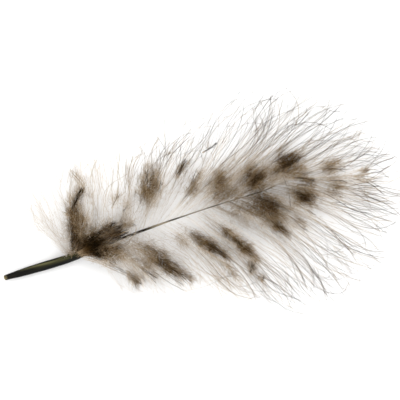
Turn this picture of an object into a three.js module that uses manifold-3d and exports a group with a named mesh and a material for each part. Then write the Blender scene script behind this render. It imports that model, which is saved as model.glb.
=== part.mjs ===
// A barred marabou feather lying on a table, at its real size in millimetres, +Z up.
// It grew as one piece: a quill, the thin shaft that it runs out into, and the down on both sides.
// The down is made as locks, each a flat tapered lick of barbs, all joined to the shaft in one solid.
// Places are first written from the cut end of the quill, with the shaft running along +X.
import * as THREE from "three";
import { mergeVertices } from "three/addons/utils/BufferGeometryUtils.js";
import Module from "manifold-3d";

// The middle of the feather's outline, from the cut end of the quill. It becomes the origin.
const MIDDLE_X = 51.336;
const MIDDLE_Y = -2.747;

// The shaft. It lies on the table as the quill, arches through the down and kinks near its tip.
const SHAFT_SIDES = 10;
const QUILL_RADIUS = 1.05;
const QUILL_Z = QUILL_RADIUS * Math.cos(Math.PI / SHAFT_SIDES);
const SHAFT_LINE = new THREE.CatmullRomCurve3([
  new THREE.Vector3(-1.5, -0.45, QUILL_Z),
  new THREE.Vector3(8, -0.5, QUILL_Z),
  new THREE.Vector3(17, -0.5, 1.5),
  new THREE.Vector3(25, 0, 2.7),
  new THREE.Vector3(34, 0.6, 4.0),
  new THREE.Vector3(44, 1.1, 4.8),
  new THREE.Vector3(56, 1.4, 4.9),
  new THREE.Vector3(67, 1.4, 4.5),
  new THREE.Vector3(71, 1.9, 4.3),
  new THREE.Vector3(74, 2.6, 4.1),
  new THREE.Vector3(77, 1.7, 3.9),
  new THREE.Vector3(82, 0, 3.5),
  new THREE.Vector3(88, -2.2, 3.0),
]);
const SHAFT_STEPS = 34;
const QUILL_Y = -0.46; // where the quill's middle line meets the cut end
// A share of the shaft's length, and its radius there.
const SHAFT_TAPER = [
  [0, 0.9],
  [0.06, QUILL_RADIUS],
  [0.17, QUILL_RADIUS],
  [0.24, 0.9],
  [0.32, 0.6],
  [0.39, 0.38],
  [0.5, 0.2],
  [0.75, 0.14],
  [1, 0.08],
];

// The quill is hollow at its cut end, and the cut slants so that it opens upwards.
const BORE_RADIUS = 0.6;
const BORE_DEPTH = 4;
const BORE_SIDES = 8;
const CUT_SLANT = THREE.MathUtils.degToRad(35);
const CUT_BLOCK = 8; // side of the block that trims the end

// The block below the table is larger than the feather every way.
const TABLE_SIDE = 300;
const TABLE_DEPTH = 20;

const SAME_POINT = 1e-4; // points nearer than this are one

// Guides for the locks of each side, from the quill to the feather's tip. Each has the place along
// the shaft where a lock grows, the way that it sets out in degrees from +X, where it ends, and the
// way that it arrives there.
const UPPER_GUIDES = [
  { root: 16.8, leaves: 105, tip: [9, 13.5], arrives: 150 },
  { root: 17.6, leaves: 97, tip: [10.5, 19.5], arrives: 120 },
  { root: 19.0, leaves: 90, tip: [16.5, 23], arrives: 100 },
  { root: 20.6, leaves: 86, tip: [24.5, 22.5], arrives: 88 },
  { root: 23.5, leaves: 70, tip: [30, 22], arrives: 82 },
  { root: 27, leaves: 52, tip: [36, 22], arrives: 78 },
  { root: 31, leaves: 46, tip: [42, 22], arrives: 66 },
  { root: 35, leaves: 46, tip: [49, 22.5], arrives: 52 },
  { root: 38, leaves: 46, tip: [59, 23.5], arrives: 40 },
  { root: 41, leaves: 38, tip: [69, 25.5], arrives: 42 },
  { root: 45, leaves: 31, tip: [77, 26], arrives: 45 },
  { root: 50, leaves: 28, tip: [83.5, 24], arrives: 45 },
  { root: 55, leaves: 26, tip: [89, 21], arrives: 38 },
  { root: 60, leaves: 24, tip: [93.5, 16.5], arrives: 32 },
  { root: 66, leaves: 20, tip: [97, 11.5], arrives: 25 },
  { root: 73, leaves: 14, tip: [100, 7], arrives: 15 },
  { root: 80, leaves: 5, tip: [102, 3], arrives: 3 },
  { root: 86, leaves: -4, tip: [102.5, -0.5], arrives: 0 },
];
const LOWER_GUIDES = [
  { root: 18.5, leaves: -8, tip: [29, -12.5], arrives: -85 },
  { root: 21, leaves: -10, tip: [32.5, -14], arrives: -70 },
  { root: 25, leaves: -14, tip: [38, -17], arrives: -66 },
  { root: 30, leaves: -22, tip: [43, -18], arrives: -62 },
  { root: 35, leaves: -36, tip: [49, -18.5], arrives: -58 },
  { root: 40, leaves: -45, tip: [54, -22], arrives: -60 },
  { root: 45, leaves: -48, tip: [60, -26.5], arrives: -62 },
  { root: 50, leaves: -49, tip: [66, -29.5], arrives: -66 },
  { root: 55, leaves: -48, tip: [71.5, -32], arrives: -70 },
  { root: 60, leaves: -45, tip: [77, -32], arrives: -60 },
  { root: 65, leaves: -42, tip: [82, -30.5], arrives: -50 },
  { root: 69, leaves: -38, tip: [87, -28], arrives: -44 },
  { root: 73, leaves: -34, tip: [91.5, -25], arrives: -40 },
  { root: 77, leaves: -30, tip: [95.5, -20], arrives: -32 },
  { root: 81, leaves: -24, tip: [99, -13.5], arrives: -22 },
  { root: 85, leaves: -18, tip: [101.5, -8], arrives: -14 },
  { root: 88, leaves: -14, tip: [102.5, -3.5], arrives: -5 },
];
const LOCKS_A_SIDE = 34;
const ROOT_JITTER = 0.25; // share of the way to the next lock
const LENGTH_JITTER = 0.05; // share of a lock's length
const LOCK_SPREAD = 16; // degrees that a lock's tip may turn from its guide
const HANDLE = 0.35; // how far a lock keeps to its direction at each end, as a share of its reach

// The locks lie in three layers: on the table, arched over the shaft, and level with the shaft.
// belly and tip are heights above the table, half way along a lock and at its tip.
const LAYERS = [
  { belly: 0.7, tip: 0.45 },
  { belly: 9.6, tip: 5.4 },
  { belly: 5.2, tip: 2.6 },
];

// A lock is widest past its middle, and its section is a flat diamond.
const LOCK_HALF_WIDTH = 2.2;
const LOCK_HALF_THICK = 0.75;
const LOCK_SIDES = 4;
const LOCK_STEPS = 6;
const LOCK_ROLL = THREE.MathUtils.degToRad(16);
const ROOT_SHARE = 0.4; // a lock's width at its root, as a share of its widest
const WIDEST_AT = 0.55;

const wasm = await Module();
wasm.setup();

// A spread of numbers from -1 to 1 that looks like chance and never changes.
function scatter(index, kind) {
  const turn = Math.sin(index * 12.9898 + kind * 78.233) * 43758.5453;
  return (turn - Math.floor(turn)) * 2 - 1;
}

// The radius at a share of the way along the shaft.
function shaftRadius(share) {
  const next = Math.max(1, SHAFT_TAPER.findIndex(([at]) => at >= share));
  const [before, radiusBefore] = SHAFT_TAPER[next - 1];
  const [after, radiusAfter] = SHAFT_TAPER[next];
  return THREE.MathUtils.mapLinear(share, before, after, radiusBefore, radiusAfter);
}

// The guide at a share of the way through a side's list, between its two neighbours.
function guideAt(guides, share) {
  const place = share * (guides.length - 1);
  const first = Math.min(Math.floor(place), guides.length - 2);
  const [a, b] = [guides[first], guides[first + 1]];
  const mix = (from, to) => THREE.MathUtils.lerp(from, to, place - first);
  return {
    root: mix(a.root, b.root),
    leaves: mix(a.leaves, b.leaves),
    tip: [mix(a.tip[0], b.tip[0]), mix(a.tip[1], b.tip[1])],
    arrives: mix(a.arrives, b.arrives),
  };
}

// The point of the shaft at a distance from the quill's cut end along X.
function shaftAt(x) {
  let [low, high] = [0, 1];
  for (let halving = 0; halving < 24; halving++) {
    const middle = (low + high) / 2;
    if (SHAFT_LINE.getPoint(middle).x < x) low = middle;
    else high = middle;
  }
  return SHAFT_LINE.getPoint(low);
}

function bare(geometry) {
  geometry.deleteAttribute("normal");
  geometry.deleteAttribute("uv");
  return geometry;
}

// A closed limb round a curve. sectionAt gives its half width, half thickness and roll.
function limb(curve, sides, steps, startRadius, sectionAt) {
  const geometry = bare(new THREE.CylinderGeometry(startRadius, 1, 1, sides, steps));
  const position = geometry.getAttribute("position");
  const up = new THREE.Vector3(0, 0, 1);
  for (let i = 0; i < position.count; i++) {
    const share = THREE.MathUtils.clamp(position.getY(i) + 0.5, 0, 1);
    const angle = Math.atan2(position.getX(i), position.getZ(i));
    const onRim = Math.hypot(position.getX(i), position.getZ(i)) > 1e-6 ? 1 : 0;
    const { halfWidth, halfThick, roll } = sectionAt(share);
    const ahead = curve.getTangent(share);
    const across = new THREE.Vector3().crossVectors(ahead, up).normalize();
    const over = new THREE.Vector3().crossVectors(across, ahead);
    across.applyAxisAngle(ahead, roll);
    over.applyAxisAngle(ahead, roll);
    const point = curve
      .getPoint(share)
      .addScaledVector(across, onRim * halfWidth * Math.sin(angle))
      .addScaledVector(over, onRim * halfThick * Math.cos(angle));
    position.setXYZ(i, point.x, point.y, point.z);
  }
  return geometry;
}

function solidOf(geometry) {
  const merged = mergeVertices(geometry, SAME_POINT);
  return new wasm.Manifold(
    new wasm.Mesh({
      numProp: 3,
      vertProperties: new Float32Array(merged.getAttribute("position").array),
      triVerts: new Uint32Array(merged.getIndex().array),
    }),
  );
}

function shaft() {
  const section = (share) => {
    const radius = shaftRadius(share);
    return { halfWidth: radius, halfThick: radius, roll: Math.PI / SHAFT_SIDES };
  };
  return solidOf(limb(SHAFT_LINE, SHAFT_SIDES, SHAFT_STEPS, 1, section));
}

// The bore of the quill, and a block that trims its end on the slant.
function quillCuts() {
  const bore = new THREE.CylinderGeometry(BORE_RADIUS, BORE_RADIUS, 2 * BORE_DEPTH, BORE_SIDES)
    .rotateZ(Math.PI / 2)
    .translate(0, QUILL_Y, QUILL_Z);
  const block = new THREE.BoxGeometry(CUT_BLOCK, CUT_BLOCK, CUT_BLOCK)
    .translate(-CUT_BLOCK / 2, 0, 0)
    .rotateY(CUT_SLANT)
    .translate(0, QUILL_Y, 0);
  return [solidOf(bare(bore)), solidOf(bare(block))];
}

// Everything below the table is trimmed away, so the lowest locks have flat undersides.
function belowTable() {
  const block = new THREE.BoxGeometry(TABLE_SIDE, TABLE_SIDE, TABLE_DEPTH);
  return solidOf(bare(block.translate(0, 0, -TABLE_DEPTH / 2)));
}

function heading(degrees) {
  const turn = THREE.MathUtils.degToRad(degrees);
  return new THREE.Vector3(Math.cos(turn), Math.sin(turn), 0);
}

// The line down the middle of one lock: out from the shaft, over its belly and down to its tip.
function lockLine(guides, index, number) {
  const share = (index + 0.5 + ROOT_JITTER * scatter(number, 1)) / LOCKS_A_SIDE;
  const guide = guideAt(guides, share);
  const layer = LAYERS[number % LAYERS.length];
  const root = shaftAt(guide.root);
  const tip = new THREE.Vector3(...guide.tip, layer.tip);
  const level = tip.clone().sub(root).setZ(0);
  tip.addScaledVector(level, LENGTH_JITTER * scatter(number, 2));
  const handle = HANDLE * level.length();
  const arrives = guide.arrives + LOCK_SPREAD * scatter(number, 4);
  const first = root.clone().addScaledVector(heading(guide.leaves), handle);
  const second = tip.clone().addScaledVector(heading(arrives), -handle);
  first.z = (8 * layer.belly - root.z - tip.z) / 6;
  second.z = first.z;
  return new THREE.CubicBezierCurve3(root, first, second, tip);
}

function lock(guides, index, number) {
  const line = lockLine(guides, index, number);
  const roll = LOCK_ROLL * scatter(number, 3);
  const section = (share) => {
    const opening = Math.sin((Math.PI / 2) * Math.min(1, share / WIDEST_AT));
    const closing = Math.cos((Math.PI / 2) * Math.max(0, (share - WIDEST_AT) / (1 - WIDEST_AT)));
    const wide = (ROOT_SHARE + (1 - ROOT_SHARE) * opening) * closing;
    return { halfWidth: LOCK_HALF_WIDTH * wide, halfThick: LOCK_HALF_THICK * wide, roll };
  };
  return solidOf(limb(line, LOCK_SIDES, LOCK_STEPS, 0, section));
}

function featherSolid() {
  const pieces = [shaft()];
  for (const guides of [UPPER_GUIDES, LOWER_GUIDES]) {
    for (let index = 0; index < LOCKS_A_SIDE; index++) {
      pieces.push(lock(guides, index, pieces.length));
    }
  }
  let whole = wasm.Manifold.union(pieces);
  for (const cut of [...quillCuts(), belowTable()]) whole = whole.subtract(cut);
  return whole;
}

function meshOf(solid, name, material) {
  const { vertProperties, triVerts } = solid.getMesh();
  const geometry = new THREE.BufferGeometry();
  geometry.setAttribute("position", new THREE.BufferAttribute(vertProperties, 3));
  geometry.setIndex(new THREE.BufferAttribute(triVerts, 1));
  geometry.computeVertexNormals();
  const mesh = new THREE.Mesh(geometry, material);
  mesh.name = name;
  return mesh;
}

const down = new THREE.MeshStandardMaterial({ color: 0xb9aea3, roughness: 0.9, metalness: 0 });
const feather = meshOf(featherSolid(), "feather", down);
feather.position.set(-MIDDLE_X, -MIDDLE_Y, 0);

const group = new THREE.Group();
group.add(feather);
export default group;
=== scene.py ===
# %% [markdown]
# # A barred marabou feather
#
# A marabou feather is all down. A short dark quill runs out into a thin shaft, and limp barbs leave
# the shaft on both sides. Each barb carries hundreds of barbules, finer than a spider's thread, that
# don't hook together as a flight feather's do, so the whole feather is a haze with darker bars.
#
# The solid feather comes first. It is the frame: it says how large the feather is and where it lies.
# Its locks are only stand-ins, so every piece made below takes their place.

# %% The frame
import math
from types import SimpleNamespace

import bmesh
import bpy
import numpy as np
from mathutils import Matrix, Vector


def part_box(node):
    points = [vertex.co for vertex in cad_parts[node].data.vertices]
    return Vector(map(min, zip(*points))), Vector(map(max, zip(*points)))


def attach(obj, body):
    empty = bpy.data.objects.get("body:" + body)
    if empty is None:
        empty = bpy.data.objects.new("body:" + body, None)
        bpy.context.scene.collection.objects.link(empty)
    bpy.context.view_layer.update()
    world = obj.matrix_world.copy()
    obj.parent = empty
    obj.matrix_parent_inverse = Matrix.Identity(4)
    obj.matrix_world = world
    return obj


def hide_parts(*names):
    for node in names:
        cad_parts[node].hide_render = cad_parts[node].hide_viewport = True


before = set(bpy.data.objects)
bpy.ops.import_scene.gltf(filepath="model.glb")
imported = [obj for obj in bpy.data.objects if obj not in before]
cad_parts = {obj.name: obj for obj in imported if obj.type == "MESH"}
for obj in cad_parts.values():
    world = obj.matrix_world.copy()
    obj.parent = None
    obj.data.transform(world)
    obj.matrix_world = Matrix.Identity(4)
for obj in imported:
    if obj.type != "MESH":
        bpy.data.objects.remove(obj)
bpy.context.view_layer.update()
LOW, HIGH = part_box("feather")
print("the solid feather measures, in mm:", [round(1000 * side, 1) for side in HIGH - LOW])

# %% [markdown]
# ## Units and a source of chance
#
# Blender works in metres here, and a feather is easier to think about in millimetres from the cut
# end of its quill. So all places below are written in those millimetres, and one function turns them
# into the frame's metres. The chance comes from a seeded generator: the same feather grows each time.

# %% Units and chance
MM = 0.001
MIDDLE = np.array([51.336, -2.747, 0.0])  # the frame's origin, from the quill's cut end
chance = np.random.default_rng(23)


def to_frame(places):
    """Millimetres from the quill's cut end become metres in the frame."""
    return (np.asarray(places, float) - MIDDLE) * MM


def scatter(number, kind):
    """A spread of numbers from -1 to 1, the same one that the solid locks were laid with."""
    turn = np.sin(number * 12.9898 + kind * 78.233) * 43758.5453
    return (turn - np.floor(turn)) * 2 - 1


print("the quill's cut end is at", to_frame([0, -0.5, 1.0]).round(4))

# %% [markdown]
# ## The line of the shaft
#
# The quill lies on the table. The shaft then lifts off it, because the down under it is springy, and
# it kinks a little before its tip. A few points chosen along it are enough: a Catmull-Rom curve runs
# smoothly through all of them, and needs no handles.

# %% The line of the shaft
QUILL_Z = 1.13  # mm, a little more than its radius
SHAFT_POINTS = [
    (-1.5, -0.45, QUILL_Z), (8, -0.5, QUILL_Z), (17, -0.5, 1.5), (25, 0, 2.7), (34, 0.6, 4),
    (44, 1.1, 4.8), (56, 1.4, 4.9), (67, 1.4, 4.5), (71, 1.9, 4.3), (74, 2.6, 4.1), (77, 1.7, 3.9),
    (82, 0, 3.5), (88, -2.2, 3),
]


def smooth_line(points, steps):
    """A Catmull-Rom curve through the points, as an array of places with steps to each stretch."""
    points = np.array(points, float)
    ends = np.vstack([2 * points[0] - points[1], points, 2 * points[-1] - points[-2]])
    line = []
    for before, a, b, after in zip(ends, ends[1:], ends[2:], ends[3:]):
        for t in np.arange(steps) / steps:
            straight = 2 * a + (b - before) * t
            bent = (2 * before - 5 * a + 4 * b - after) * t**2 + (3 * a - before - 3 * b + after) * t**3
            line.append((straight + bent) / 2)
    return np.array(line + [points[-1]])


SHAFT_LINE = smooth_line(SHAFT_POINTS, 12)


def shaft_at(x):
    """Places on the shaft's line at distances x from the cut end."""
    x = np.asarray(x, float)
    return np.stack([x, *(np.interp(x, SHAFT_LINE[:, 0], SHAFT_LINE[:, k]) for k in (1, 2))], -1)


print("the shaft's highest point is", round(SHAFT_LINE[:, 2].max(), 2), "mm above the table")

# %% [markdown]
# ## The quill and the shaft
#
# It is one hollow horn tube that thins to a hair. It could be a curve with a bevel, but the cut end
# needs real edges, so it is extruded as a mesh: a small circle at the far tip is extruded ring by
# ring to the quill, and each new ring is turned and scaled to the shaft's line. Then a slanting
# plane cuts the end, an inset leaves the wall, and the inner face is pushed back to make the bore.

# %% The quill and the shaft
SHAFT_SIDES = 14
# Its radius at places along it, all in mm.
RADIUS_AT = [
    (-1.5, 0.6), (0.3, 0.64), (2, 0.72), (4, 0.9), (6.5, 1.03), (11, 1.12), (16, 1.1), (19, 1.03),
    (22, 0.76), (27, 0.4), (33, 0.33), (39, 0.3), (43.5, 0.2), (50, 0.14), (66, 0.12), (80, 0.11),
    (88, 0.05),
]
CUT_SLANT = math.radians(35)
WALL = 0.2  # mm
BORE_DEPTH = 3.6  # mm


def ring_frame(place, ahead, radius):
    """The matrix that takes a unit circle in XY to a ring of the shaft, in metres."""
    turn = Vector(ahead).to_track_quat("Z", "Y").to_matrix().to_4x4()
    return Matrix.Translation(to_frame(place)) @ turn @ Matrix.Scale(radius * MM, 4)


def build_shaft():
    """The shaft, extruded from its tip to the quill, with the slanting cut and the bore."""
    line = SHAFT_LINE[::-1]
    ahead = np.gradient(line, axis=0)
    radii = np.interp(line[:, 0], *np.array(RADIUS_AT).T)
    frames = [ring_frame(*ring) for ring in zip(line, ahead, radii)]
    bm = bmesh.new()
    bmesh.ops.create_circle(bm, cap_ends=False, segments=SHAFT_SIDES, radius=1, matrix=frames[0])
    rim = bm.edges[:]
    bmesh.ops.edgeloop_fill(bm, edges=rim)
    for last, following in zip(frames, frames[1:]):
        grown = bmesh.ops.extrude_edge_only(bm, edges=rim)["geom"]
        rim = [part for part in grown if isinstance(part, bmesh.types.BMEdge)]
        ring = [part for part in grown if isinstance(part, bmesh.types.BMVert)]
        bmesh.ops.transform(bm, matrix=following @ last.inverted(), verts=ring)
    everything = bm.verts[:] + bm.edges[:] + bm.faces[:]
    normal = Vector((-math.cos(CUT_SLANT), 0, math.sin(CUT_SLANT)))
    cut = bmesh.ops.bisect_plane(
        bm, geom=everything, plane_co=to_frame([0, 0, 0]), plane_no=normal, clear_outer=True
    )
    rim = [part for part in cut["geom_cut"] if isinstance(part, bmesh.types.BMEdge)]
    end = bmesh.ops.edgeloop_fill(bm, edges=rim)["faces"]
    bmesh.ops.recalc_face_normals(bm, faces=bm.faces[:])
    bmesh.ops.inset_region(bm, faces=end, thickness=WALL * MM)
    inner = bmesh.ops.extrude_face_region(bm, geom=end)["geom"]
    bmesh.ops.delete(bm, geom=end, context="FACES")
    back = [part for part in inner if isinstance(part, bmesh.types.BMVert)]
    bmesh.ops.translate(bm, verts=back, vec=Vector((BORE_DEPTH * MM, 0, 0)))
    bmesh.ops.recalc_face_normals(bm, faces=bm.faces[:])
    return bm


def add_piece(name, mesh):
    """Puts a mesh into the scene as an object of the same name."""
    piece = bpy.data.objects.new(name, mesh)
    bpy.context.scene.collection.objects.link(piece)
    return piece


def add_built(name, bm):
    """The same for a form that operators made."""
    mesh = bpy.data.meshes.new(name)
    bm.to_mesh(mesh)
    bm.free()
    return add_piece(name, mesh)


shaft = add_built("shaft", build_shaft())
shaft.data.polygons.foreach_set("use_smooth", [True] * len(shaft.data.polygons))
print("the shaft has", len(shaft.data.polygons), "faces")

# %% [markdown]
# ## Where the barbs grow and end
#
# Barbs leave the quill's end almost backwards, the middle of the shaft at about 45 degrees, and the
# tip nearly straight ahead. A handful of guides on each side says this, and all barbs are worked out
# between them. They could be drawn one by one, but a guide every few millimetres is enough. The
# guides end where the solid's locks end, so the down fills the form of the solid. Only towards the
# tip do they leave the shaft further back than the locks. A third list is for the short dark down over
# the quill's end, which hides where it turns into the shaft.

# %% Where the barbs grow and end
# Each guide: where it grows along the shaft, its direction in degrees from +X, its tip's x and y,
# and its direction at the tip.
UPPER_GUIDES = [
    (16.8, 112, 8.5, 13.5, 160), (17.4, 104, 9.5, 18.5, 125), (18.6, 92, 15.5, 22.5, 105),
    (20.6, 86, 24.5, 22.5, 88), (23.5, 70, 30, 22, 82), (27, 52, 36, 22, 78), (31, 46, 42, 22, 66),
    (35, 46, 49, 22.5, 52), (38, 46, 59, 23.5, 42), (41, 38, 69, 25.5, 44), (44, 33, 77, 26, 50),
    (47.5, 30, 83.5, 24, 40), (51, 28, 89, 21, 30), (55, 26, 93.5, 16.5, 17), (60, 22, 97, 11.5, 5),
    (66, 16, 100, 7, -3), (74, 8, 102, 3, -9), (84, -6, 102.5, -0.5, -12),
]
LOWER_GUIDES = [
    (20.6, -8, 29, -12.5, -85), (22.4, -10, 32.5, -14, -70), (25, -14, 38, -17, -66),
    (30, -22, 43, -18, -62), (35, -36, 49, -18.5, -58), (39, -45, 54, -22, -60),
    (43, -48, 60, -26.5, -64), (47, -49, 66, -29.5, -68), (51, -48, 71.5, -32, -70),
    (55, -44, 77, -32, -62), (59, -40, 82, -30.5, -54), (62, -36, 87, -28, -48),
    (65, -33, 91.5, -25, -42), (69, -29, 95.5, -20, -36), (73, -25, 99, -13.5, -22),
    (78, -21, 101.5, -8, -14), (85, -18, 102.5, -3.5, -10),
]
COVER_GUIDES = [
    (18, 84, 20.6, 6.5, 86), (19, 50, 25.5, 4.4, 20), (19.9, 26, 30.5, 4.4, 12),
    (20.6, 16, 35.5, 4, 16), (21.8, 9, 35, 1.9, 4), (21.6, 0, 33, -0.6, -8),
    (21.4, -6, 31.5, -3, -24), (21.2, -8, 29.5, -4, -40), (21, -6, 27.5, -3.8, -45),
]


print("guides above, below and over the shaft:", len(UPPER_GUIDES), len(LOWER_GUIDES), len(COVER_GUIDES))

# %% [markdown]
# ## Loose hairs and dark licks
#
# Single hairs lie across the others, and here and there a few dark barbs cling together in a lick.
# They could be left to chance, but the eye goes to them first, so each has its place. Only the short
# hairs along the rim are left to chance.

# %% Loose hairs and dark licks
# Each loose hair: x and y of its start, of a bend and of its end.
STRAYS = [
    (42, -16.3, 48, -17.4, 55, -15.6), (47, -15.6, 52, -16.6, 56.5, -16.2),
    (55, -23.4, 57.5, -22.6, 59.5, -23.2), (53.5, -18.6, 56, -20, 59.5, -19.6),
    (69, 14.6, 73.5, 14.6, 77.5, 12.6), (74.5, 19, 76, 22.4, 79.3, 24.2),
    (62.5, 22.6, 65, 24.4, 68.5, 24.6), (67, 20.4, 70.5, 20.8, 73.8, 22.2),
    (73.2, 21.2, 74, 23.6, 75.8, 25.4), (50.6, 24.8, 50.2, 26.6, 50.9, 28.2),
    (56, 24.6, 57.2, 26.4, 58.6, 28.4), (58.2, 24.4, 60, 25.6, 60.5, 28.2),
    (62.9, 23, 65, 23.6, 67.2, 25), (56, 21, 62, 20, 66.5, 18.6), (80, 15.5, 84, 17.5, 88.5, 17),
    (84, 13, 87.5, 12, 92, 12.8), (86, 18.5, 88, 15.5, 91.5, 14.5), (90, -2, 94, -4.2, 98.5, -4.6),
    (86, -17, 90, -20.5, 94, -21), (47.5, 19, 49, 22.5, 49.4, 25.8),
    (51.5, 19.5, 54, 23, 56.6, 25.4), (53.6, 21, 54.8, 24, 54.8, 27.2),
    (60, 21.5, 62.5, 25, 64.6, 27.6), (63, 20.5, 66, 24, 69.6, 26.6),
    (66.4, 22, 68, 25.4, 70.6, 27.8), (70.5, 22, 72.5, 25.4, 73.6, 28),
    (78, 21.5, 80.5, 24.6, 84, 26.2),
]
# Each lick: the same, and how many hairs it has, how far apart in mm, and their pigment.
LICKS = [
    (72.5, 4.6, 74, 0.5, 72.3, -4.5, 2, 0.05, 0.8), (20.9, 8, 21.2, 11, 25.9, 14.9, 16, 0.26, 1),
    (25.9, 14.9, 25.5, 17, 23.8, 20, 5, 0.35, 0.5), (31.1, 8.2, 32.2, 9.4, 33.5, 10.9, 7, 0.2, 0.8),
    (33.2, 6.3, 34, 6.9, 34.8, 7.4, 4, 0.15, 1), (40, 7.8, 40.9, 10.5, 42.2, 13.8, 8, 0.5, 0.9),
    (42.8, 7.2, 43.2, 8.8, 44.4, 10.8, 6, 0.3, 0.9), (48.4, 10.6, 50, 12, 51.9, 14.2, 9, 0.4, 0.95),
    (50.2, 6.6, 51.6, 8, 54, 10.4, 8, 0.4, 0.9), (56, 14.6, 58, 15, 60.1, 15.9, 8, 0.1, 1),
    (73.7, -0.7, 75.4, -1.4, 77, -2.9, 5, 0.2, 0.95), (75, 2.4, 77.5, 1.7, 80.3, 0.4, 8, 0.1, 1),
    (76.9, 2.5, 78.5, 2.8, 80.3, 2.3, 2, 0.1, 0.8), (82.4, 2.4, 85, 2, 88.2, 0.4, 4, 0.16, 0.9),
    (83, -0.6, 85.2, -1.2, 87.6, -2.8, 4, 0.16, 0.9),
    (82.6, -6.2, 84, -6.6, 85.6, -7.7, 3, 0.12, 0.8),
    (76, -5.8, 76.8, -6.6, 77.8, -7.9, 3, 0.12, 0.8),
    (66.6, -5, 68.2, -8, 70.3, -11.2, 8, 0.35, 0.9),
    (71.5, -6, 73.2, -8.4, 75.4, -10.6, 5, 0.3, 0.7),
    (49.6, -5.4, 51.2, -7.8, 53.6, -11, 8, 0.4, 0.9),
    (56.6, -5.5, 58, -9.4, 60.2, -13.4, 7, 0.35, 0.9),
    (58.3, -17, 59.3, -15.8, 59.9, -14.3, 5, 0.12, 1),
    (60.6, -19.8, 61, -19, 61.6, -18.2, 3, 0.12, 0.9),
    (37.2, -6, 39.2, -9, 42, -12.6, 10, 0.6, 0.9), (33.4, -6.8, 35, -8.8, 36.6, -11.4, 6, 0.3, 0.9),
    (29.8, -7.6, 30.9, -9.6, 32.4, -11.8, 6, 0.3, 0.9),
    (25, -3.6, 28, -5.8, 30.4, -8.6, 6, 0.5, 0.9), (19.6, 0.4, 24, 2.9, 31, 4.4, 26, 0.5, 1),
    (19.8, -0.2, 25, 0.9, 33, 1.6, 34, 0.35, 1), (20.6, -0.6, 25, -1.6, 29.5, -3.2, 20, 0.5, 1),
    (18.4, 0.6, 20.4, 3.2, 21, 8.4, 16, 0.5, 0.8), (18.6, 0.6, 22, 3.2, 23.4, 8, 14, 0.6, 0.6),
    (20.4, -1.4, 24, -3, 28, -6.4, 9, 0.5, 0.35), (35.6, -5.4, 38, -8.6, 42.4, -14.6, 9, 0.7, 0.8),
    (37.6, -5.6, 40.6, -8.6, 43.8, -13.6, 9, 0.6, 0.8),
]
# The rim of each side, as x and y, and the direction of the barbs there.
UPPER_RIM = [
    (50, 23, 55), (60, 24, 48), (72, 26, 45), (80, 24.5, 48), (86.5, 22, 44), (92, 17, 36),
    (97, 10, 22),
]
LOWER_RIM = [
    (60, -27, -66), (70, -31, -68), (80, -31, -58), (87, -28, -48), (92, -24.5, -40),
    (99, -13, -26),
]
RIM_HAIRS = 34  # on each side

print(len(STRAYS), "loose hairs,", 2 * RIM_HAIRS, "hairs on the rims and", len(LICKS), "dark licks")

# %% [markdown]
# ## The path of a barb
#
# Barbs cling together in locks, and the locks lie in three layers, which gives the down some height.
# They could be hair curves, but an export loses those, so each barb is a path that becomes a mesh
# below. The path is a Bezier curve. Its handles keep to the guide's directions and lift it to its
# layer's height. Then chance bends it to and fro.

# %% The path of a barb
LOCKS_A_SIDE = 34
BARBS_A_LOCK = 9
BARB_STEPS = 18
HANDLE = 0.35  # how far a barb keeps to its direction at each end, as a share of its reach
LOCK_JITTER = 0.25  # how far a lock grows off its even place, in steps from lock to lock
BARB_JITTER = 0.6  # and a barb off its lock's
LEAVING_SPREAD = 5  # degrees between neighbouring barbs' directions at the shaft
LOCK_SPREAD = 18  # degrees between neighbouring locks' directions at their tips
BARB_SPREAD = 28  # and between their barbs'
LONGEST = 1.01  # the longest barb's reach, as a share of its guide's
SHORTER = 0.28  # how much shorter the shortest is
TIP_JITTER = 0.8  # mm
MOST_JITTER = 1.2  # mm
CLUMPING = [(0.3, 0.5), (0.6, 0.25)]  # at two shares, how far a tip is drawn to that of its lock
# The three layers of locks: on the table, arched over the shaft, and level with the shaft.
# Each has its height half way along and at its tip.
LAYERS = np.array([(0.7, 0.45), (8.4, 5.4), (4.8, 2.6)])
COVER_LAYERS = np.array([(3.8, 4.4), (4.8, 5.0), (4.4, 4.7)])
LAYER_JITTER = 0.5  # mm
TURNS = (0.8, 1.7, 3.9)  # how often each wave along a barb goes to and fro
CALM = 1.6  # the power by which a quicker wave is smaller
LOWEST = 0.15  # mm above the table


def guide_at(guides, share):
    """The guides' five numbers at shares of the way along their list."""
    place = np.clip(share, 0, 1) * (len(guides) - 1)
    return [np.interp(place, np.arange(len(guides)), column) for column in np.array(guides, float).T]


def heading(degrees):
    """Level unit vectors at angles from +X."""
    turn = np.radians(degrees)
    return np.column_stack([np.cos(turn), np.sin(turn), 0 * turn])


def bezier(*points):
    """Paths of even steps along Bezier curves, from arrays of their three or four points."""
    t = np.linspace(0, 1, BARB_STEPS)[None, :, None]
    degree = len(points) - 1
    path = 0
    for k, point in enumerate(points):
        path = path + math.comb(degree, k) * (1 - t) ** (degree - k) * t**k * point[:, None]
    return path


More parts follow.
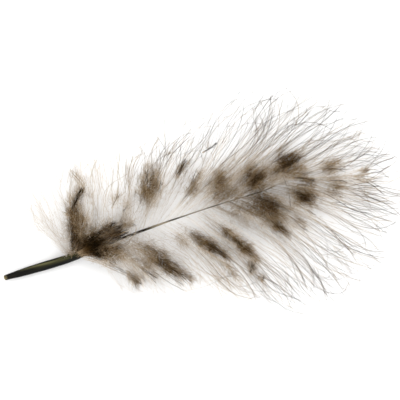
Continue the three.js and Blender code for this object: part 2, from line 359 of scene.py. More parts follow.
def lay_barbs(guides, first_number, locks, layers):
    """The paths of one side's barbs, with each one's share of the way along and lock's number."""
    lock = np.repeat(np.arange(locks), BARBS_A_LOCK)
    number = lock + first_number
    count = lock.size
    lock_share = (lock + 0.5 + LOCK_JITTER * scatter(number, 1)) / locks
    share = lock_share + chance.uniform(-BARB_JITTER, BARB_JITTER, count) / locks
    root_x, leaves, tip_x, tip_y, arrives = guide_at(guides, share)
    lock_tip = np.stack(guide_at(guides, lock_share)[2:4], -1)
    tip = np.stack([tip_x, tip_y], -1)
    tip += np.interp(share, *CLUMPING)[:, None] * (lock_tip - tip)
    root = shaft_at(root_x)
    length = LONGEST - SHORTER * chance.random(count) ** 1.5
    tip = root[:, :2] + (tip - root[:, :2]) * length[:, None]
    tip += np.clip(chance.normal(0, TIP_JITTER, tip.shape), -MOST_JITTER, MOST_JITTER)
    belly, end = layers[number % len(layers)].T + chance.normal(0, LAYER_JITTER, (2, count))
    tip = np.column_stack([tip, end])
    reach = HANDLE * np.linalg.norm((tip - root)[:, :2], axis=1)[:, None]
    arrives += LOCK_SPREAD * scatter(number, 4) + chance.normal(0, BARB_SPREAD, count)
    first = root + reach * heading(leaves + chance.normal(0, LEAVING_SPREAD, count))
    second = tip - reach * heading(arrives)
    # Half way along, the curve has an eighth of each end's height and three eighths of each handle's.
    first[:, 2] = (8 * belly - root[:, 2] - tip[:, 2]) / 6
    second[:, 2] = first[:, 2]
    return bezier(root, first, second, tip), share, number


def directions(path):
    """For each step of each path: the way ahead, the level way across it, and the way over it."""
    ahead = np.gradient(path, axis=1)
    ahead /= np.linalg.norm(ahead, axis=2, keepdims=True)
    across = np.cross(ahead, [0, 0, 1.0])
    across /= np.linalg.norm(across, axis=2, keepdims=True)
    return ahead, across, np.cross(across, ahead)


def wave(path, size):
    """Bends each path to and fro, more towards its tip, as limp barbs lie."""
    t = np.linspace(0, 1, path.shape[1])[None, :]
    _, across, over = directions(path)
    for way, share in ((across, 1.0), (over, 0.5)):
        for turns in TURNS:
            start = chance.uniform(0, 2 * np.pi, (len(path), 1))
            swing = size * share / turns**CALM * chance.normal(0, 1, (len(path), 1))
            path = path + way * (swing * t * np.sin(2 * np.pi * turns * t + start))[..., None]
    path[..., 2] = np.maximum(path[..., 2], LOWEST)
    return path


print("a barb has", BARB_STEPS, "steps, and a side has", LOCKS_A_SIDE * BARBS_A_LOCK, "barbs")

# %% [markdown]
# ## The barbs of each side
#
# If all barbs were alike the down would look combed, so each lock, and each barb in it, is a little
# paler, thicker or fuller than the next. A barb hands its values on to the barbules that grow from it.

# %% The barbs of each side
BARB_WAVE = 1.1  # mm that a barb's tip swings
TONE = (0.5, 0.3, 0.2)  # the middle, and how much it varies by lock and by barb
SLIP = (0.8, 1.0)  # mm that the bars are shifted along a barb, by lock and by barb
DEPTH = (0.76, 0.12, 0.26)  # how strong the bars are: the middle, by lock and by barb
FULLNESS = (0.6, 0.5)  # how many barbules grow, as powers of e, by lock and by barb
THICKNESS = 0.3  # how a barb's thickness varies, as a power of e
STEM = (0.1, 0.4)  # pigment between the bars: the least, and how much more at most
DASHES = 5  # places along a barb's outer part that are each as dark as chance has it


def grow_side(name, guides, first_number, locks=LOCKS_A_SIDE, layers=LAYERS):
    """One side's barbs, and what each barb hands on to its barbules."""
    paths, share, lock = lay_barbs(guides, first_number, locks, layers)
    count = len(paths)
    return SimpleNamespace(
        name=name,
        paths=wave(paths, BARB_WAVE),
        share=share,
        tone=np.clip(TONE[0] + TONE[1] * scatter(lock, 5) + chance.normal(0, TONE[2], count), 0, 1),
        slip=SLIP[0] * scatter(lock, 7) + chance.normal(0, SLIP[1], count),
        depth=(DEPTH[0] + DEPTH[1] * scatter(lock, 8) + DEPTH[2] * chance.uniform(-1, 1, count))
        * np.interp(share, [0.08, 0.16], [1.2, 1]),
        fullness=np.exp(FULLNESS[0] * scatter(lock, 6) + chance.normal(0, FULLNESS[1], count)),
        thickness=np.exp(chance.normal(0, THICKNESS, count))
        * np.interp(share, [0, 0.12, 0.3], [0.65, 0.8, 1]),
        stem=(STEM[0] + STEM[1] * chance.random(count) ** 2) * np.interp(share, [0.15, 0.4], [0.4, 1]),
        dashes=chance.uniform(0, 1, (count, DASHES)),
        lean=0,  # degrees that its barbules keep nearer to it than others do
    )


upper = grow_side("upper", UPPER_GUIDES, 1)
lower = grow_side("lower", LOWER_GUIDES, 1 + LOCKS_A_SIDE)
lower.stem *= 0.8
lower.thickness *= np.interp(lower.share, [0.4, 0.6, 0.75, 1], [1, 0.92, 1.15, 1.35])
print(len(upper.paths), "barbs above the shaft and", len(lower.paths), "below it")

# %% [markdown]
# ## The cover and the tuft
#
# Two more groups lie at the base: the dark cover over the quill's end, and more barbs for the
# backward tuft. They are made as the sides are, from fewer locks. The cover's barbules lie close to
# its barbs, as the streaks that the quill seems to fray into.

# %% The cover and the tuft
COVER_LOCKS = 11
TUFT_LOCKS = 6
TUFT_GUIDES = UPPER_GUIDES[:5]

cover = grow_side("cover", COVER_GUIDES, 1 + 2 * LOCKS_A_SIDE, COVER_LOCKS, COVER_LAYERS)
cover.share *= 0.1  # its barbs count as the first of a side
cover.thickness *= 1.5
cover.lean = 32
cover.depth *= 1.5
tuft = grow_side("tuft", TUFT_GUIDES, 1 + 2 * LOCKS_A_SIDE + COVER_LOCKS, TUFT_LOCKS)
tuft.share *= 0.15
tuft.stem *= 0.7
print(len(cover.paths), "barbs over the quill's end and", len(tuft.paths), "in the tuft")

# %% [markdown]
# ## Laying the loose hairs
#
# A lick lies on top of the down, which is low at the quill and the shaft and swells beside them. The
# other loose hairs lie anywhere in it. The down's top could be measured, but a rough form is enough,
# because a lick sinks in a little wherever it lies.

# %% Laying the loose hairs
SHAFT_HEIGHT = 4.8  # mm that the down is high along the shaft
SWELL = 3.4  # mm more that it is high beside the shaft
SWELL_WIDTH = 8  # mm from the shaft to where it is highest
FRAY = 0.4  # how far a lick's hairs part from each other, as a share of its spread


def down_top(level):
    """Roughly how high the down's top is at level places."""
    x, y = level[..., :1], level[..., 1:]
    beside = np.abs(y - 1) / SWELL_WIDTH
    tipward = np.clip(x / 15 - 4, 0, 0.7)
    from_quill = np.clip((x - 13) / 10, 0.4, 1)
    return (SHAFT_HEIGHT + SWELL * np.clip(beside + tipward, 0, 1)) * from_quill


def rim_hairs(rim):
    """Short hairs here and there across a rim: the start, bend and end, no spread, and the pigment."""
    x, y, degrees = np.array(rim, float).T
    hairs = []
    for at in chance.uniform(x[0], x[-1], RIM_HAIRS):
        middle = np.array([at, np.interp(at, x, y) * chance.uniform(0.55, 0.95)])
        way = heading(chance.normal(np.interp(at, x, degrees), 26, 1))[0, :2]
        way = way * chance.uniform(0.8, 2.6)
        bend = middle + chance.normal(0, 0.5, 2)
        hairs.append((middle - way, bend, middle + way, 0, chance.uniform(0.2, 0.6)))
    return hairs


def lay_loose():
    """The loose hairs and the dark licks, with the same values as a side's barbs."""
    hairs = [(stray[:2], stray[2:4], stray[4:], 0, chance.uniform(0.35, 0.7)) for stray in STRAYS]
    hairs += rim_hairs(UPPER_RIM) + rim_hairs(LOWER_RIM)
    for *places, number, spread, pigment in LICKS:
        hairs += [(places[:2], places[2:4], places[4:], spread, pigment)] * number
    count = len(hairs)
    start, bend, end, spread, pigment = (np.array(column) for column in zip(*hairs))
    apart = spread[:, None] * chance.normal(0, 1, (count, 2))

    def frayed(place):
        return place + apart + FRAY * spread[:, None] * chance.normal(0, 1, (count, 2))

    level = bezier(frayed(start), frayed(bend), frayed(end))
    on_top = down_top(level) + chance.uniform(0, 0.8, (count, 1, 1))
    anywhere = chance.uniform(1, 4, (count, 1, 1))
    in_lick = spread > 0
    height = np.where(in_lick[:, None, None], on_top, anywhere)
    return SimpleNamespace(
        name="loose",
        paths=wave(np.concatenate([level, height], 2), 0.2),
        share=np.where(in_lick, 0, 1),
        tone=np.ones(count),
        slip=np.zeros(count),
        depth=np.zeros(count),
        thickness=np.where(in_lick, chance.uniform(0.8, 1.7, count), chance.uniform(1.0, 1.6, count)),
        stem=pigment,
        dashes=chance.uniform(0, 1, (count, DASHES)),
    )


loose = lay_loose()
print(len(loose.paths), "loose hairs and hairs in licks")

# %% [markdown]
# ## The bars
#
# The feather is off-white with dark brown bars, and the brown is a pigment that each barbule grew
# with. So the colour isn't painted over the down: every strand carries its own share of pigment. It
# comes from a list of soft spots, each lying along the barbs. A second list says where the down is
# thin.

# %% The bars
# Each spot: its middle, the way it lies in degrees from +X, half its length and width, its strength.
SPOTS = [
    (20.9, 4.8, 80, 4.4, 2.2, 0.66), (22.3, 7.2, 85, 3, 1.7, 0.5), (26.6, 10.7, 100, 2.6, 0.6, 0.5),
    (21.8, 10, 70, 3, 0.9, 0.8), (24.4, 13.6, 42, 2.2, 0.6, 1), (24.9, 18, 105, 3, 1.2, 0.4),
    (22.5, 1.6, 22, 4, 1.5, 1), (27, 2.3, 10, 5, 1.5, 0.8), (32.5, 3.1, 12, 3, 0.8, 0.7),
    (32.4, 9.7, 48, 2, 0.6, 0.6), (34, 6.9, 40, 0.8, 0.7, 0.5), (41, 10.3, 62, 4, 2.4, 0.95),
    (50.2, 12.4, 44, 3.6, 0.65, 0.8), (51.9, 8.3, 42, 3.6, 0.65, 0.8),
    (50.5, 5.8, 30, 1.6, 0.9, 0.5), (58, 15.4, 18, 1.8, 0.4, 0.4), (48.5, 17.5, 45, 2, 0.7, 0.4),
    (57.5, 6, 60, 3.4, 2.4, 0.75), (63, 10.8, 20, 2.2, 1, 0.45), (66.5, 4.4, 60, 3.4, 2.8, 0.95),
    (74.7, 6.8, 60, 3.4, 2.8, 0.95), (77, 1.5, -60, 3.2, 1.4, 0.75), (81.5, 9.2, 20, 2.2, 1.2, 0.5),
    (85, 2.4, 20, 2.4, 2, 0.75), (92, 7, 10, 2.2, 0.9, 0.6), (76.2, -2.5, -40, 3.2, 2.6, 0.95),
    (84.3, -3.2, -30, 2.4, 2.2, 0.6), (67.3, -3, -60, 3.6, 2.9, 0.9), (61, -1, -50, 3.2, 2.6, 0.55),
    (58.8, 2.2, 20, 3.6, 1.5, 0.4), (65.4, -1.5, -50, 2.6, 1.8, 0.55),
    (68.4, -4.8, -50, 3, 1.5, 0.6), (64.3, 6.6, 30, 2.4, 1.6, 0.4), (72.8, 6, 20, 2.4, 1.4, 0.6),
    (76.6, 6.2, -20, 2.2, 1.6, 0.7), (68.5, -8.2, -60, 3.6, 1.2, 0.85),
    (73.5, -8.5, -45, 3.2, 1, 0.6), (67, 0.5, 0, 13, 7, 0.06), (55, 3, 10, 7, 4.5, 0.07),
    (35, -3, -30, 3.5, 1.5, 0.45), (88, -9, -45, 10, 6, 0.04), (50.8, -7.5, -52, 4.4, 1.2, 0.95),
    (52.5, -9.4, -55, 3.6, 0.6, 0.85), (48.6, -4.6, -45, 3, 1, 0.5),
    (57.4, -8.4, -60, 4.8, 0.8, 0.85), (59.5, -10.8, -62, 3.8, 0.8, 0.9),
    (55, -4.8, -42, 3.2, 1.1, 0.45), (54.5, -15, -60, 3.6, 0.7, 0.75),
    (59.2, -15.6, 62, 1.3, 0.5, 0.9), (61, -19, 55, 0.8, 0.6, 0.7),
    (37.9, -7.8, -56, 4.4, 0.9, 0.8), (39.4, -8, -56, 3.8, 1.2, 0.95),
    (31, -9.5, -52, 2.4, 1.2, 0.8), (35, -8.6, -52, 2.8, 1.2, 0.7), (30, -4, -26, 6, 1.6, 0.32),
    (25, -1.4, -12, 4.6, 1.6, 0.85), (22.3, 0.6, 20, 2.2, 1.2, 1), (44.5, -3.5, -45, 2, 1.4, 0.45),
    (43, -12.6, -62, 2.8, 0.9, 0.7), (92.2, -2, -5, 2, 2.4, 0.6), (92, -6.5, -15, 2, 1.2, 0.7),
    (89.6, -13.4, -25, 1.8, 0.7, 0.6), (78, -24, -45, 1.6, 0.5, 0.6),
    (80.5, -17.5, -55, 2.4, 1, 0.35),
]
# Where the down is thin, so that the white of the table shows: the same six numbers for each gap.
GAPS = [
    (29, 15.5, 78, 6.5, 2.6, 0.95), (14, 15, 130, 6, 3, 0.6), (36, 15.5, 70, 7, 3, 0.93),
    (18, 14, 100, 6, 2.4, 0.7), (31.5, 6.5, 60, 2.4, 1.4, 0.6), (36.5, 5, 30, 3, 1.2, 0.7),
    (25.1, 11.8, 70, 2.2, 1, 0.96), (28.3, 11, 75, 6, 2.4, 0.85), (33.5, 13, 75, 5, 2.4, 0.6),
    (46, 4, 12, 6.5, 2.2, 0.85), (46.5, 8.5, 55, 3, 1.4, 0.7), (66.5, 11.6, 12, 5.5, 2.6, 0.96),
    (53.5, 4.4, 50, 2, 1, 0.6), (61.8, 7.2, 55, 2, 1, 0.5), (47, -11, -55, 6, 2.6, 0.92),
    (46.5, -2, -14, 6, 2.4, 0.8), (54, -3, -30, 4, 2, 0.7), (55.6, -12.6, -60, 3.2, 0.9, 0.85),
    (63.8, -13, -62, 7, 2.4, 0.85), (54.5, -4.5, -55, 2.4, 1, 0.6), (69, -20, -62, 6, 1.6, 0.6),
    (32.5, -13.5, -60, 2.6, 0.9, 0.85), (72.2, -0.5, -80, 2.2, 0.9, 0.5),
    (82, -11.5, -35, 4, 1.4, 0.6),
]
RAGGED = 0.45  # mm that the spots' edges waver


def soft_spots(spots, places):
    """From 0, clear of all spots, to 1, in the middle of a full one, at places in millimetres."""
    at_x, at_y = places[..., 0], places[..., 1]
    wavy_x = at_x + RAGGED * np.sin(1.9 * at_y + 0.7 * at_x)
    wavy_y = at_y + RAGGED * np.sin(1.6 * at_x - 0.8 * at_y)
    clear = np.ones(at_x.shape)
    for x, y, degrees, half_length, half_width, strength in spots:
        turn = math.radians(degrees)
        east, north = wavy_x - x, wavy_y - y
        along = (east * math.cos(turn) + north * math.sin(turn)) / half_length
        beside = (north * math.cos(turn) - east * math.sin(turn)) / half_width
        clear *= 1 - strength * np.exp(-(along**2) - beside**2)
    return 1 - clear


print("pigment in the bar at 39.5, -9:", soft_spots(SPOTS, np.array([[39.5, -9.0, 0]])).round(2))

# %% [markdown]
# ## Meshes from arrays
#
# There are far too many strands to make one by one with operators. Here whole arrays of places and
# faces go into a mesh at once. The pigment and the tone of each vertex are kept as a UV map, across
# and up, so one material can read them and no picture is needed.

# %% Meshes from arrays
SHADES = "OFBake"  # the UV map: pigment across, tone up


def mesh_of(name, places, faces, shades):
    """A mesh of triangles, with a place and a pair of shades for each vertex."""
    mesh = bpy.data.meshes.new(name)
    mesh.vertices.add(len(places))
    mesh.vertices.foreach_set("co", to_frame(places).astype(np.float32).ravel())
    mesh.loops.add(faces.size)
    mesh.loops.foreach_set("vertex_index", faces.astype(np.int32).ravel())
    mesh.polygons.add(len(faces))
    mesh.polygons.foreach_set("loop_start", np.arange(0, faces.size, 3, dtype=np.int32))
    mesh.update(calc_edges=True)
    layer = mesh.uv_layers.new(name=SHADES)
    corners = np.clip(shades, 0.01, 0.99)[faces.ravel()]
    layer.data.foreach_set("uv", corners.astype(np.float32).ravel())
    return mesh


print("the shades are kept in the UV map", SHADES)

# %% [markdown]
# ## The barbs
#
# Each barb is a thin stem. Three sides are enough for something a twentieth of a millimetre thick.
# Its rings follow the path and close to a point at the tip. A real barb thins on its way there. These
# grow a little thicker, because their single ends would be lost to the eye.

# %% The barbs
BARB_RADIUS = 0.023  # mm at the shaft
BARB_TIP_RADIUS = 0.034  # mm just before the tip
CORNERS = np.arange(3) * 2 * np.pi / 3
LEAST_DASH = 0.15  # pigment of the palest place along a barb's outer part
MOST_DASH = 0.9  # and of the darkest


def barb_arrays(paths, thickness, shades):
    """Three-sided tubes round the paths, closed at both ends: their places, faces and shades."""
    count, steps, _ = paths.shape
    _, across, over = directions(paths)
    t = np.linspace(0, 1, steps)[None, :, None, None]
    radius = (BARB_RADIUS + (BARB_TIP_RADIUS - BARB_RADIUS) * t) * thickness[:, None, None, None]
    ring = across[:, :, None] * np.cos(CORNERS)[:, None] + over[:, :, None] * np.sin(CORNERS)[:, None]
    rings = paths[:, :, None] + radius * ring
    places = np.concatenate([rings[:, :-1].reshape(count, -1, 3), paths[:, -1:]], 1)
    faces = [(0, 2, 1)]
    last = 3 * (steps - 1)
    for step in range(steps - 1):
        for corner in range(3):
            a, b = 3 * step + corner, 3 * step + (corner + 1) % 3
            if step == steps - 2:
                faces.append((a, b, last))
            else:
                faces += [(a, b, b + 3), (a, b + 3, a + 3)]
    each = last + 1
    faces = (np.array(faces)[None] + each * np.arange(count)[:, None, None]).reshape(-1, 3)
    per_vertex = np.concatenate([np.repeat(shades[:, :-1], 3, axis=1), shades[:, -1:]], 1)
    return places.reshape(-1, 3), faces, per_vertex.reshape(-1, 2)


def barred(side, index, places, ahead):
    """Pigment at places that belong to barbs, each with its bars shifted and weakened."""
    shifted = places + ahead * side.slip[index][..., None]
    return soft_spots(SPOTS, shifted) * side.depth[index]


def barb_shades(side):
    """Pigment and tone along each barb. Towards the feather's tip the barbs' ends are brownish."""
    t = np.linspace(0, 1, BARB_STEPS)[None, :]
    tipward = np.clip((side.share[:, None] - 0.2) / 0.3, 0, 1)
    ends = np.clip((t - 0.4) / 0.3, 0, 1)
    dashes = [np.interp(t[0], np.linspace(0.3, 1, DASHES), row) for row in side.dashes]
    ends = ends * (LEAST_DASH + (MOST_DASH - LEAST_DASH) * np.array(dashes))
    bars = barred(side, np.arange(len(side.paths))[:, None], side.paths, directions(side.paths)[0])
    stem = side.stem[:, None] * np.clip(0.3 + 2 * t, 0, 1)
    pigment = np.maximum(1.3 * bars, stem + ends * tipward)
    return np.stack([pigment, np.repeat(side.tone[:, None], BARB_STEPS, 1)], -1)


barb_pieces = []
for side in (upper, lower, cover, tuft, loose):
    name = f"barbs_{side.name}"
    arrays = barb_arrays(side.paths, side.thickness, barb_shades(side))
    barb_pieces.append(add_piece(name, mesh_of(name, *arrays)))
    print(name, "has", len(arrays[1]), "triangles")

# %% [markdown]
# ## How the down is spread
#
# The barbules make the haze. Near the shaft they are long and dense, and towards the feather's tip
# they leave the barbs' ends bare. They gather in small clouds, which come from a grid of random
# numbers. Pure chance would make the down too thick where barbs crowd, so fewer grow on each there.

# %% How the down is spread
EVENNESS = 0.8  # 1 would grow the same number on each square millimetre
PATCH = 1.5  # mm across the small clouds that the down gathers in
CLOUD_CELLS = 64
LIGHT_DOWN = 0.1  # how dense the down is between the bars
BAR_DOWN = 1.4  # and in them
TRIES = 10  # places to choose from for each barbule


def profile(share, t):
    """How long barbules are, in mm, and how many grow, at t along barbs at a share of their side."""
    tipward = np.clip((share - 0.15) / 0.5, 0, 1)
    bare_from = 0.95 - 0.4 * tipward
    fade = np.clip((bare_from + 0.15 - t) / 0.4, 0, 1)
    near = np.clip(t / 0.2, 0, 1)
    length = (2.9 - 1.0 * tipward) * (0.3 + 0.7 * near) * (0.25 + 0.75 * fade)
    length *= np.interp(share, [0, 0.15], [0.6, 1])
    near = np.maximum(near, np.interp(share, [0.2, 0.35, 0.8, 0.9], [1, 0, 0, 1]))
    number = (0.1 + 0.9 * fade**1.5) * (0.2 + 0.8 * near)
    number *= np.interp(share, [0, 0.1, 0.25], [0.2, 0.5, 1])
    return length, number


def along_paths(values, index, t):
    """values at t along chosen paths, between the steps."""
    place = t * (values.shape[1] - 1)
    step = np.minimum(place.astype(int), values.shape[1] - 2)
    rest = (place - step)[:, None]
    return values[index, step] * (1 - rest) + values[index, step + 1] * rest


def unit(vectors):
    """The same directions with length one."""
    return vectors / np.linalg.norm(vectors, axis=-1, keepdims=True)


def crowding(places):
    """How many of the places lie in about the same square millimetre as each of them."""
    cells = np.floor(places[:, :2] + chance.uniform(-0.5, 0.5, (len(places), 2))).astype(int)
    cells -= cells.min(0)
    cell = cells[:, 0] * (cells[:, 1].max() + 1) + cells[:, 1]
    return np.bincount(cell)[cell]


CLOUDS = chance.random((CLOUD_CELLS, CLOUD_CELLS))


def clouds(across, along):
    """Smooth random numbers from 0 to 1, one patch to each unit across and along."""
    x, y = np.floor(across).astype(int), np.floor(along).astype(int)
    columns = [[CLOUDS[(x + i) % CLOUD_CELLS, (y + k) % CLOUD_CELLS] for k in (0, 1)] for i in (0, 1)]
    east, north = (rest * rest * (3 - 2 * rest) for rest in (across - x, along - y))
    near, far = (low * (1 - north) + high * north for low, high in columns)
    return near * (1 - east) + far * east


def choose_roots(side, count):
    """Which barb each barbule grows on, and how far along it."""
    lengths = np.linalg.norm(np.diff(side.paths, axis=1), axis=2).sum(1)
    tries = TRIES * count
    index = chance.choice(len(lengths), tries, p=lengths / lengths.sum())
    t = chance.random(tries)
    root = along_paths(side.paths, index, t)
    bars = soft_spots(SPOTS, root)
    number = profile(side.share[index], t)[1]
    number = (LIGHT_DOWN * number + BAR_DOWN * bars * number**0.3) * (1 - soft_spots(GAPS, root))
    number *= side.fullness[index] / crowding(root) ** EVENNESS
    patch = clouds(root[:, 0] / PATCH, root[:, 1] / PATCH)
    stretch = clouds(5.3 * index, t * lengths[index] / PATCH)
    clouded = (0.15 + 1.7 * patch**2) * (0.15 + 1.7 * stretch**2)
    number *= clouded + (1 - clouded) * 0.85 * bars
    kept = chance.choice(tries, count, replace=False, p=number / number.sum())
    return index[kept], t[kept]


print("mm that barbules are long from shaft to tip:", profile(0.3, np.array([0.1, 0.5, 0.9]))[0].round(2))

# %% [markdown]
# ## The form of the barbules
#
# A real barbule is a hundredth of a millimetre thick, too fine to show, so each one here is about
# four times as thick and stands for its neighbours too. A flat strip would vanish from the side, so
# it is a spindle: a point on the barb, two three-cornered rings and a point at its end. Each third of
# it turns a little, so it curves.

# %% The form of the barbules
BARBULE_RADIUS = 0.016  # mm in the light down, and twice that in the bars
BARBULE_ANGLE = 52  # degrees from its barb
ANGLE_SPREAD = 18
OUTER_LEAN = 28  # degrees that it keeps nearer to the barb, outside the bars and towards the barb's tip
ROLL = 0.6  # how far the barbules stand up and down from the barb, in radians
CURL = 0.45  # how much a barbule turns from one third of its length to the next
TOP = 8.6  # mm above the table where the down starts to be pressed flat
STRAY_SHADE = 0.35  # mm that a barbule's bars are blurred
BARBULE_PIGMENT = (0.06, 0.34)  # between the bars: the least, and how much more at most
PIGMENT_NOISE = 0.11
TONE_NOISE = 0.2
CORNERS_EACH = 8
# Its triangles: three round the root, six between the rings and three round the end.
SPINDLE = [(0, 2, 1), (0, 3, 2), (0, 1, 3), (4, 5, 7), (5, 6, 7), (6, 4, 7)]
SPINDLE += [(a, b, b + 3) for a, b in ((1, 2), (2, 3), (3, 1))]
SPINDLE += [(a, b + 3, a + 3) for a, b in ((1, 2), (2, 3), (3, 1))]
SPINDLE = np.array(SPINDLE)


def grow_down(side, count):
    """Barbules as arrays: eight places and eight pairs of shades each, and where each one grows."""
    index, t = choose_roots(side, count)
    ahead, across, over = (along_paths(way, index, t) for way in directions(side.paths))
    root = along_paths(side.paths, index, t)
    bars = soft_spots(SPOTS, root)[:, None]
    size = (count, 1)
    outward = chance.choice([-1.0, 1.0], size)
    roll = chance.normal(0, ROLL, size)
    angle = chance.normal(BARBULE_ANGLE - side.lean, ANGLE_SPREAD, size)
    angle = np.radians(angle - OUTER_LEAN * np.clip(2 * t - 0.2, 0, 1)[:, None] * (1 - bars))
    out = outward * np.cos(roll) * across + np.sin(roll) * over
    way = np.cos(angle) * ahead + np.sin(angle) * out
    length = profile(side.share[index], t)[0] * chance.uniform(0.45, 1.35, count)
    stride = length[:, None] / 3 * (1 - 0.2 * bars)
    thickness = BARBULE_RADIUS * (0.85 + 1.2 * bars)
    places = [root]
    end = root
    for third in range(3):
        way = unit(way + 0.2 * ahead + chance.normal(0, CURL, (count, 3)))
        end = end + way * stride
        sideways = thickness * unit(np.cross(way, over + 0.01))
        upward = np.cross(sideways, way)
        if third < 2:
            places += [end + math.cos(turn) * sideways + math.sin(turn) * upward for turn in CORNERS]
    places = np.stack([*places, end], 1)
    height = np.maximum(places[..., 2], 0.05)
    places[..., 2] = np.minimum(height, TOP + 0.3 * (height - TOP).clip(0))
    grown_at = places[:, :1] + 0.35 * (places - places[:, :1])
    grown_at += chance.normal(0, STRAY_SHADE, (count, 1, 3))
    pigment = barred(side, index[:, None], grown_at, ahead[:, None])
    least, more = BARBULE_PIGMENT
    pigment = np.maximum(pigment, least + more * chance.random(size) ** 2)
    pigment += chance.normal(0, PIGMENT_NOISE, size)
    tone = np.clip(side.tone[index] + chance.normal(0, TONE_NOISE, count), 0, 1)
    shades = np.stack([pigment, np.repeat(tone[:, None], CORNERS_EACH, 1)], -1)
    return places, shades, root[:, 0]


print("each barbule has", len(SPINDLE), "triangles")

# %% [markdown]
# ## The down
#
# One mesh for a whole side would be very large, so a side's down is parted into three pieces of the
# same number, from the quill to the tip. They mingle where they meet, so no border shows.

# %% The down
BARBULES_A_SIDE = 31000
COVER_BARBULES = 4200
TUFT_BARBULES = 1200


def down_pieces(side, count, parts):
    """One side's down, with a piece for each part of the way from the quill to the tip."""
    places, shades, root_x = grow_down(side, count)
    limits = np.quantile(root_x, np.linspace(0, 1, len(parts) + 1))
    limits[-1] += 1  # so that the last one is inside too
    made = []
    for part, low, high in zip(parts, limits, limits[1:]):
        chosen = (root_x >= low) & (root_x < high)
        first_corner = CORNERS_EACH * np.arange(chosen.sum())
        faces = (SPINDLE[None] + first_corner[:, None, None]).reshape(-1, 3)
        name = f"down_{side.name}_{part}"
        mesh = mesh_of(name, places[chosen].reshape(-1, 3), faces, shades[chosen].reshape(-1, 2))
        made.append(add_piece(name, mesh))
        print(name, "has", len(faces), "triangles")
    return made


down = []
for side in (upper, lower):
    down += down_pieces(side, BARBULES_A_SIDE, ("base", "middle", "tip"))
down += down_pieces(cover, COVER_BARBULES, ("base",))
down += down_pieces(tuft, TUFT_BARBULES, ("base",))

# %% [markdown]
# ## Materials
#
# Both finishes are keratin, the stuff of horn and nails. In the down it is so thin that light gets
# lost between the strands, which makes it matt and pale. In the quill it is solid, smooth and dark,
# with a soft gloss. The hex colours are as a screen shows them, so a function turns them to the
# linear values that Blender mixes with.

# %% Helpers for materials


def linear(hex_colour):
    """An sRGB hex colour as linear red, green, blue and a solid alpha."""
    parts = [int(hex_colour[i : i + 2], 16) / 255 for i in (1, 3, 5)]
    return [c / 12.92 if c <= 0.04045 else ((c + 0.055) / 1.055) ** 2.4 for c in parts] + [1.0]


def add_node(tree, kind, links=None, **settings):
    """Adds a node with settings, and joins its inputs, by name or number, to other nodes' outputs."""
    node = tree.nodes.new(kind)
    for key, value in settings.items():
        if key in node.inputs:
            node.inputs[key].default_value = value
        else:
            setattr(node, key, value)
    for socket, output in (links or {}).items():
        tree.links.new(output, node.inputs[socket])
    return node


def new_material(name):
    """A new material, with its node tree and its shader."""
    material = bpy.data.materials.new(name)
    material.use_nodes = True
    tree = material.node_tree
    return material, tree, tree.nodes["Principled BSDF"]


def set_ramp(node, stops):
    """Gives a ramp its colours, from places and hex colours."""
    ramp = node.color_ramp
    while len(ramp.elements) < len(stops):
        ramp.elements.new(0.5)
    for element, (place, colour) in zip(ramp.elements, stops):
        element.position = place
        element.color = linear(colour)


print("off-white down is", [round(c, 3) for c in linear("#e6e1da")])

# %% [markdown]
# ### Down: fine keratin strands
#
# The first ramp goes from unpigmented down to the darkest bar, by the pigment that is kept across
# the UV map. The tone up the map makes some strands greyer and some warmer. Noise could do that,
# but it would run across strands.

# %% Down
MIX_A, MIX_B, MIX_RESULT = 6, 7, 2  # where a mixing node has its colours
MULTIPLY = {"data_type": "RGBA", "blend_type": "MULTIPLY", "Factor": 1.0}
DOWN_STOPS = [
    (0.0, "#fffefc"),
    (0.3, "#b9a384"),
    (0.65, "#5c4426"),
    (0.85, "#3c2b14"),
    (1.0, "#1b1207"),
]


def down_material():
    """Matt keratin, coloured by the shades that each vertex keeps."""
    material, tree, shader = new_material("down_keratin")
    shades = add_node(tree, "ShaderNodeUVMap", uv_map=SHADES)
    parts = add_node(tree, "ShaderNodeSeparateXYZ", {"Vector": shades.outputs["UV"]})
    pigment = add_node(tree, "ShaderNodeValToRGB", {"Fac": parts.outputs["X"]})
    set_ramp(pigment, DOWN_STOPS)
    tone = add_node(tree, "ShaderNodeValToRGB", {"Fac": parts.outputs["Y"]})
    set_ramp(tone, [(0.0, "#eeeded"), (1.0, "#fffefc")])
    colours = {MIX_A: pigment.outputs["Color"], MIX_B: tone.outputs["Color"]}
    mixed = add_node(tree, "ShaderNodeMix", colours, **MULTIPLY)
    tree.links.new(mixed.outputs[MIX_RESULT], shader.inputs["Base Color"])
    shader.inputs["Roughness"].default_value = 0.75
    shader.inputs["IOR"].default_value = 1.55
    shader.inputs["Specular IOR Level"].default_value = 0.02
    return material


down_keratin = down_material()
print("made", down_keratin.name)

# %% [markdown]
# ### Quill: solid horny keratin
#
# The quill is dark olive and pale at its cut end, and along the shaft it turns tan. A ramp along it
# does this. A ramp across the quill paints shade along its underside, almost black, and a painted
# olive highlight along its upper side. Noise that is stretched along it gives the fibres. A painted
# picture would be no truer at this size.

# %% Quill
FIBRE_LENGTH = 9.0909  # mm
FIBRE_WIDTH = 0.45455  # mm
FIBRE_DEPTH = 0.1  # mm
RAMP_ENDS = (-1, 90)  # mm along the shaft
# Between these edges across the quill run the painted shade underneath and the painted highlight above.
SHADE_AND_HIGHLIGHT_EDGES = (-1.6, 0.7)  # mm across the quill
ALONG_STOPS = [
    (0.0, "#efe4c4"),
    (0.016, "#a8996c"),
    (0.026, "#120e07"),
    (0.08, "#15130b"),
    (0.2, "#1b180e"),
    (0.42, "#1d160d"),
    (0.48, "#a89c86"),
    (0.8, "#b0a492"),
    (0.835, "#2e241a"),
    (0.88, "#2e241a"),
    (1.0, "#7d7062"),
]
# Across the quill from its underside up: painted shade, almost black, its dark olive, a painted olive
# highlight, and darker again at the top edge.
OLIVE_SHADE_AND_HIGHLIGHT_STOPS = [
    (0.0, "#14161a"),
    (0.3, "#151510"),
    (0.5, "#3b3a22"),
    (0.75, "#77744c"),
    (1.0, "#2c2a17"),
]
